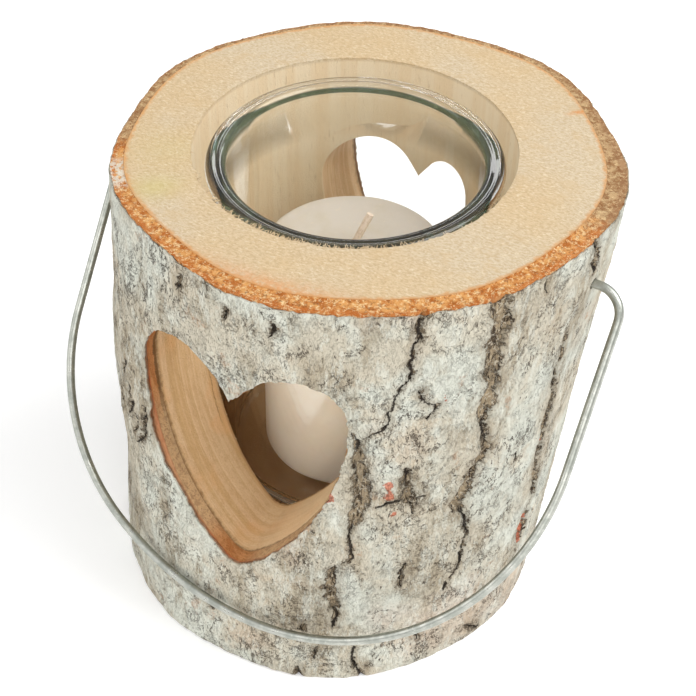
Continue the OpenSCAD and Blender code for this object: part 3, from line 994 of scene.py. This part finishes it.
# Painted highlight and shade: the cream flecks are painted highlights on the crumbly surface, and the dark
# brown flecks below are painted shade between the crumbs
crumbs_painted_highlight = m.times(m.ramp(m.noise(1000, 5, 0.82), 0.53, 0.58), m.ramp(worn, 0.2, 0.8, 0.78, 0.42))
col = m.mix(crumbs_painted_highlight, col, srgb(244, 218, 168))
col = m.mix(m.ramp(m.noise(900, 5, 0.78), 0.55, 0.62, 0, 0.7), col, srgb(128, 74, 34))
wall = m.attr("wall")
height_z = m.xyz()["Z"]
side = m.mix(m.ramp(m.noise(300, 5, 0.7, m.stretch(1, 1, 0.15)), 0.40, 0.60), srgb(182, 120, 70),
    srgb(204, 146, 94))
side = m.mix(m.ramp(m.noise(1300, 4, 0.7), 0.56, 0.66, 0, 0.4), side, srgb(132, 88, 54))
side = m.mix(m.ramp(m.attr("depth"), 1.6, 0.9, 0, 0.8), side, srgb(182, 86, 50))
seam = m.jitter(m.attr("left"), 420, 4, 0.7, 2.0)
low_seam = m.ramp(height_z, 0.052, 0.070, 0.15, 0.75)
side = m.mix(m.times(m.ramp(seam, 1.35, 0.75), low_seam), side, srgb(98, 76, 48))
pale_side = m.mix(m.ramp(m.noise(700, 5, 0.75), 0.45, 0.60), srgb(214, 180, 136), srgb(184, 150, 112))
pale_side = m.mix(m.ramp(m.attr("depth"), 1.5, 0.95, 0, 0.7), pale_side, srgb(180, 112, 70))
side = m.mix(m.times(m.attr("fade"), 0.85), side, pale_side)
col = m.mix(wall, col, side)
col = m.mix(m.times(m.attr("pale"), m.ramp(m.noise(700, 4, 0.7), 0.40, 0.55)), col, srgb(226, 214, 194))
height = m.plus(m.noise(700, 6, 0.75), m.times(m.noise(1900, 3, 0.6), 0.5))
m.set(Base_Color=col, Roughness=m.ramp(m.noise(500), 0.3, 0.7, 0.8, 0.95), Normal=m.bump(height, 1.0, 0.0010))
m.set(Specular_IOR_Level=0.2)
give(bast, m)

# Wood
m = Mat("birch_wood")
fibre = m.stretch(1, 1, 0.03)
top = m.mix(m.ramp(m.noise(26, 3, 0.5), 0.40, 0.62), srgb(206, 189, 161), srgb(208, 184, 147))
sawn = m.node("ShaderNodeMapping")
sawn.inputs["Rotation"].default_value = (0, 0, math.radians(-38))
sawn.inputs["Scale"].default_value = (0.45, 1, 1)
m.link(m.obj, sawn.inputs["Vector"])
top = m.mix(m.ramp(m.noise(1900, 5, 0.78, sawn.outputs[0]), 0.47, 0.56, 0, 0.55), top, srgb(180, 152, 112))
top = m.mix(m.ramp(m.noise(1500, 4, 0.75, sawn.outputs[0]), 0.55, 0.62, 0, 0.5), top, srgb(230, 216, 188))
top = m.mix(m.ramp(m.noise(150, 4, 0.6), 0.52, 0.66, 0, 0.35), top, srgb(200, 172, 130))
top = m.mix(m.times(m.attr("sap"), 0.45), top, srgb(196, 184, 112))
spot = m.xyz()
height_z = spot["Z"]


def layers(fine, tall, seed):
    """Noise drawn out along the growth layers: fast with depth below the bark, slow with height."""
    c = m.node("ShaderNodeCombineXYZ")
    m.link(m.times(m.attr("depth"), fine), c.inputs["X"])
    m.link(m.times(height_z, tall), c.inputs["Z"])
    c.inputs["Y"].default_value = seed
    return m.noise(1.0, 4, 0.6, c.outputs[0])


wall = m.mix(m.ramp(layers(0.45, 9, 0.5), 0.40, 0.62), srgb(222, 190, 148), srgb(208, 171, 123))
broken_up = m.ramp(m.noise(120, 5, 0.7, m.stretch(1, 1, 0.35)), 0.42, 0.60)
wall = m.mix(m.times(m.ramp(layers(1.3, 22, 3.5), 0.50, 0.64), m.times(broken_up, 0.42)), wall,
    srgb(192, 148, 100))
wall = m.mix(m.ramp(layers(2.3, 26, 7.5), 0.58, 0.68, 0, 0.32), wall, srgb(244, 222, 184))
wall = m.mix(m.ramp(m.noise(520, 6, 0.8, m.stretch(1, 1, 0.3)), 0.50, 0.58, 0, 0.3), wall,
    srgb(190, 148, 100))
wall = m.mix(m.ramp(m.noise(60, 3, 0.5), 0.50, 0.66, 0, 0.4), wall, srgb(226, 172, 116))
wall = m.mix(m.ramp(m.noise(1800, 4, 0.7), 0.58, 0.68, 0, 0.4), wall, srgb(236, 214, 178))
split = m.jitter(m.attr("split"), 500, 4, 0.7, 1.2)
split = m.times(m.ramp(m.math("ABSOLUTE", split), 0.20, 0.06), m.attr("torn"))
wall = m.mix(m.times(split, 0.7), wall, srgb(150, 108, 68))
# Painted light: the heart's wall is painted lighter low down on its right flank
painted_light_flank = m.times(m.ramp(spot["X"], -0.004, 0.012), m.ramp(height_z, 0.090, 0.075))
wall = m.mix(m.times(painted_light_flank, 0.45), wall, srgb(244, 220, 180))
bored = m.ramp(m.attr("bore"), 0.9, 0.3)
# Painted light: the bore wall is painted lighter than the other wood
inner = m.mix(m.ramp(m.noise(200, 4, 0.6, fibre), 0.40, 0.62), srgb(230, 213, 183), srgb(226, 204, 169))
# Painted shade: the bore wall is painted darker towards its bottom
inner = m.mix(m.ramp(height_z, 0.100, 0.060, 0, 0.8), inner, srgb(172, 119, 62))
inner = m.mix(m.ramp(m.noise(1500, 4, 0.7, m.stretch(1, 1, 0.15)), 0.58, 0.68, 0, 0.4), inner,
    srgb(176, 146, 104))
wall = m.mix(bored, wall, inner)
col = m.mix(m.attr("top"), wall, top)
col = m.mix(m.times(m.attr("stain"), m.ramp(m.noise(700, 5, 0.75), 0.35, 0.58, 0.3, 1.0)), col,
    srgb(212, 136, 66))
jag = m.jitter(m.attr("depth"), 520, 5, 0.75, 3.4)
col = m.mix(m.ramp(jag, 1.3, -0.1, 0, 0.8), col, m.mix(m.attr("top"), srgb(120, 86, 52), srgb(206, 146, 84)))
knot = m.ramp(m.noise(170, 2, 0.4), 0.775, 0.80)
col = m.mix(m.times(knot, 0.7), col, srgb(132, 100, 68))
height = m.plus(m.noise(1500, 6, 0.8), m.times(m.noise(420, 4, 0.7, m.stretch(1, 1, 0.06)), 0.8))
m.set(Base_Color=col, Roughness=m.ramp(m.noise(400), 0.3, 0.7, 0.72, 0.88),
    Normal=m.bump(height, 0.75, 0.0006))
m.set(Specular_IOR_Level=0.25)
for piece in (wood, splinters, fuzz):
    give(piece, m)

# Glass: clear walls and a thick green rim, with a see-through band where the two meet
m = Mat("green_tinted_glass")
smear = m.noise(55, 3, 0.5)
clear = m.mix(m.ramp(smear, 0.4, 0.7), (0.985, 0.988, 0.978), (0.99, 0.992, 0.985))
# Painted shade: the rim band is painted near black, olive on the near side and teal elsewhere, for the dark
# look of thick glass seen through; the glass's own green tint is real
green = m.mix(m.attr("near"), (0.010, 0.034, 0.024), (0.032, 0.031, 0.012))
green = m.mix(m.ramp(m.noise(220, 3, 0.5, m.stretch(1, 1, 3)), 0.55, 0.68, 0, 0.35), green,
    (0.07, 0.20, 0.16))
m.set(Base_Color=m.mix(m.ramp(m.attr("thick"), 0.15, 0.85), clear, green),
    Roughness=m.ramp(smear, 0.35, 0.75, 0.0, 0.015),
      Normal=m.bump(m.noise(38, 2, 0.5), 0.08, 0.0010), Alpha=m.attr("solid"))
m.set(Transmission_Weight=1.0, IOR=1.5)
vol = m.node("ShaderNodeVolumeAbsorption")
vol.inputs["Color"].default_value = (0.40, 0.60, 0.48, 1)
vol.inputs["Density"].default_value = 8.0
m.link(vol.outputs[0], m.nt.nodes["Material Output"].inputs["Volume"])
# The light that real glass bends into the log isn't traced, so light rays go straight through
rays = m.node("ShaderNodeLightPath")
through = m.node("ShaderNodeBsdfTransparent")
through.inputs["Color"].default_value = (0.99, 0.99, 0.985, 1)
blend = m.node("ShaderNodeMixShader")
m.link(m.most(rays.outputs["Is Shadow Ray"], rays.outputs["Is Diffuse Ray"]), blend.inputs[0])
m.link(m.bsdf.outputs[0], blend.inputs[1])
m.link(through.outputs[0], blend.inputs[2])
m.link(blend.outputs[0], m.nt.nodes["Material Output"].inputs["Surface"])
give(glass, m)

# Wax
m = Mat("ivory_wax")
cloud = m.noise(60, 4, 0.6)
# Painted shade and light: the crown is painted darker and the side lighter, as shaded and lit copies of the
# same wax
crown = m.mix(m.ramp(cloud, 0.4, 0.65), srgb(194, 187, 176), srgb(188, 179, 162))
side = m.mix(m.ramp(cloud, 0.4, 0.65), srgb(246, 236, 219), srgb(241, 229, 209))
col = m.mix(m.attr("crown"), side, crown)
col = m.mix(m.ramp(m.noise(700, 4, 0.65), 0.60, 0.72, 0, 0.35), col, srgb(214, 200, 174))
height = m.plus(m.noise(240, 4, 0.6), m.times(m.noise(1400, 3, 0.6), 0.25))
m.set(Base_Color=col, Roughness=m.ramp(m.noise(200), 0.3, 0.7, 0.42, 0.62),
    Normal=m.bump(height, 0.25, 0.0005))
# Painted glow: the wax gives off a faint warm light of its own, standing in for light scattered through it
m.set(Emission_Color=(1.0, 0.90, 0.74, 1))
m.set(Emission_Strength=0.045)
m.set(Subsurface_Weight=0.35)
m.set(Subsurface_Radius=(1.0, 0.75, 0.5))
m.set(Subsurface_Scale=0.004)
give(candle, m)

# Wick
m = Mat("waxed_cotton_wick")
weave = m.noise(1500, 4, 0.6, m.stretch(1, 1, 0.5))
m.set(Base_Color=m.mix(m.ramp(weave, 0.4, 0.65), srgb(228, 212, 194), srgb(208, 190, 168)),
    Roughness=m.ramp(weave, 0.3, 0.7, 0.6, 0.85),
      Normal=m.bump(weave, 0.6, 0.0003))
give(wick, m)

# Tin foot of the wick
m = Mat("thin_tinplate")
grain = m.noise(600, 4, 0.6, m.stretch(1, 0.2, 1))
m.set(Base_Color=m.mix(m.ramp(grain, 0.4, 0.7), (0.62, 0.62, 0.61), (0.46, 0.46, 0.46)),
    Roughness=m.ramp(grain, 0.3, 0.7, 0.28, 0.45),
      Normal=m.bump(grain, 0.2, 0.0002))
m.set(Metallic=1.0)
give(NODES["wick_sustainer"], m)

# Wire
m = Mat("galvanised_wire")
dull = m.noise(240, 5, 0.65)
col = m.mix(m.ramp(dull, 0.38, 0.62), srgb(180, 181, 173), srgb(156, 159, 151))
col = m.mix(m.ramp(m.noise(900, 4, 0.7), 0.56, 0.68, 0, 0.6), col, srgb(200, 201, 193))
m.set(Base_Color=col, Roughness=m.ramp(dull, 0.3, 0.7, 0.26, 0.40),
    Normal=m.bump(m.noise(1100, 4, 0.6), 0.15, 0.0002))
m.set(Metallic=1.0)
give(bail, m)

# ---------------------------------------------------------------- frame links
for piece, node, body, slot in (
    (skin, "outer_bark", "log", "white_bark"),
    (bast, "inner_bark", "log", "bast"),
    (wood, "wood_core", "log", "birch_wood"),
    (splinters, "wood_core", "log", "birch_wood"),
    (fuzz, "wood_core", "log", "birch_wood"),
    (glass, "glass_insert", "glass", "green_glass"),
    (candle, "candle", "candle", "wax"),
    (wick, "wick", "candle", "cotton_wick"),
    (bail, "bail_handle", "bail", "galvanised_wire"),
):
    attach(piece, body)
    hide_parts(node)

# ---------------------------------------------------------------- floor, lights, camera
n = 24
gx = np.linspace(-3000, 3000, n)
X, Y = np.meshgrid(gx, gx)
pts = np.stack([X.ravel(), Y.ravel(), np.full(X.size, -0.05)], -1)
quads = [[i * n + j, i * n + j + 1, (i + 1) * n + j + 1,
    (i + 1) * n + j] for i in range(n - 1) for j in range(n - 1)]
floor = new_mesh("floor", pts, quads)
m = Mat("pale_floor")
m.set(Base_Color=m.mix(m.ramp(m.noise(6, 2, 0.5), 0.3, 0.7), (0.96, 0.96, 0.96), (0.97, 0.97, 0.97)),
    Roughness=0.9)
m.set(Emission_Color=(1, 1, 1, 1))
m.set(Emission_Strength=0.10)
give(floor, m)

world = bpy.data.worlds.new("studio")
world.use_nodes = True
world.node_tree.nodes["Background"].inputs["Color"].default_value = (1, 1, 1, 1)
world.node_tree.nodes["Background"].inputs["Strength"].default_value = 0.66
bpy.context.scene.world = world


def area(name, where, aim, size, power, tint=(1, 1, 1)):
    light = bpy.data.lights.new(name, "AREA")
    light.shape = "RECTANGLE"
    light.size, light.size_y = size
    light.energy = power
    light.color = tint
    obj = bpy.data.objects.new(name, light)
    obj.location = where
    obj.rotation_euler = (Vector(aim) - Vector(where)).to_track_quat("-Z", "Y").to_euler()
    bpy.context.scene.collection.objects.link(obj)
    return obj


mid = (0, 0, 0.08)
area("key", (0.75, 0.25, 1.05), mid, (0.9, 0.9), 13)
area("fill", (-0.9, -0.9, 0.75), mid, (1.2, 1.0), 5.5)
area("front", (0.6, -1.25, 0.55), mid, (1.2, 0.9), 6)
area("glint", (0.35, -0.55, 1.25), mid, (0.7, 0.05), 1.6)
sparkle = area("glass_sparkle", (-0.40, 1.0, 0.85), mid, (0.7, 0.10), 1.5)
only_glass = bpy.data.collections.new("seen_by_sparkle")
only_glass.objects.link(glass)
sparkle.light_linking.receiver_collection = only_glass

cam = bpy.data.cameras.new("view")
cam.sensor_width = 36
cam.lens = 77.22
cam_obj = bpy.data.objects.new("view", cam)
cam_obj.location = (0.15247, -0.28781, 0.36615)
cam_obj.rotation_euler = Euler([math.radians(v) for v in (47.447, -0.778, 28.814)], "XYZ")
bpy.context.scene.collection.objects.link(cam_obj)
scene = bpy.context.scene
scene.camera = cam_obj
scene.view_settings.view_transform = "Standard"
scene.view_settings.look = "None"
scene.cycles.max_bounces = 14
scene.cycles.transmission_bounces = 12
scene.cycles.transparent_max_bounces = 12
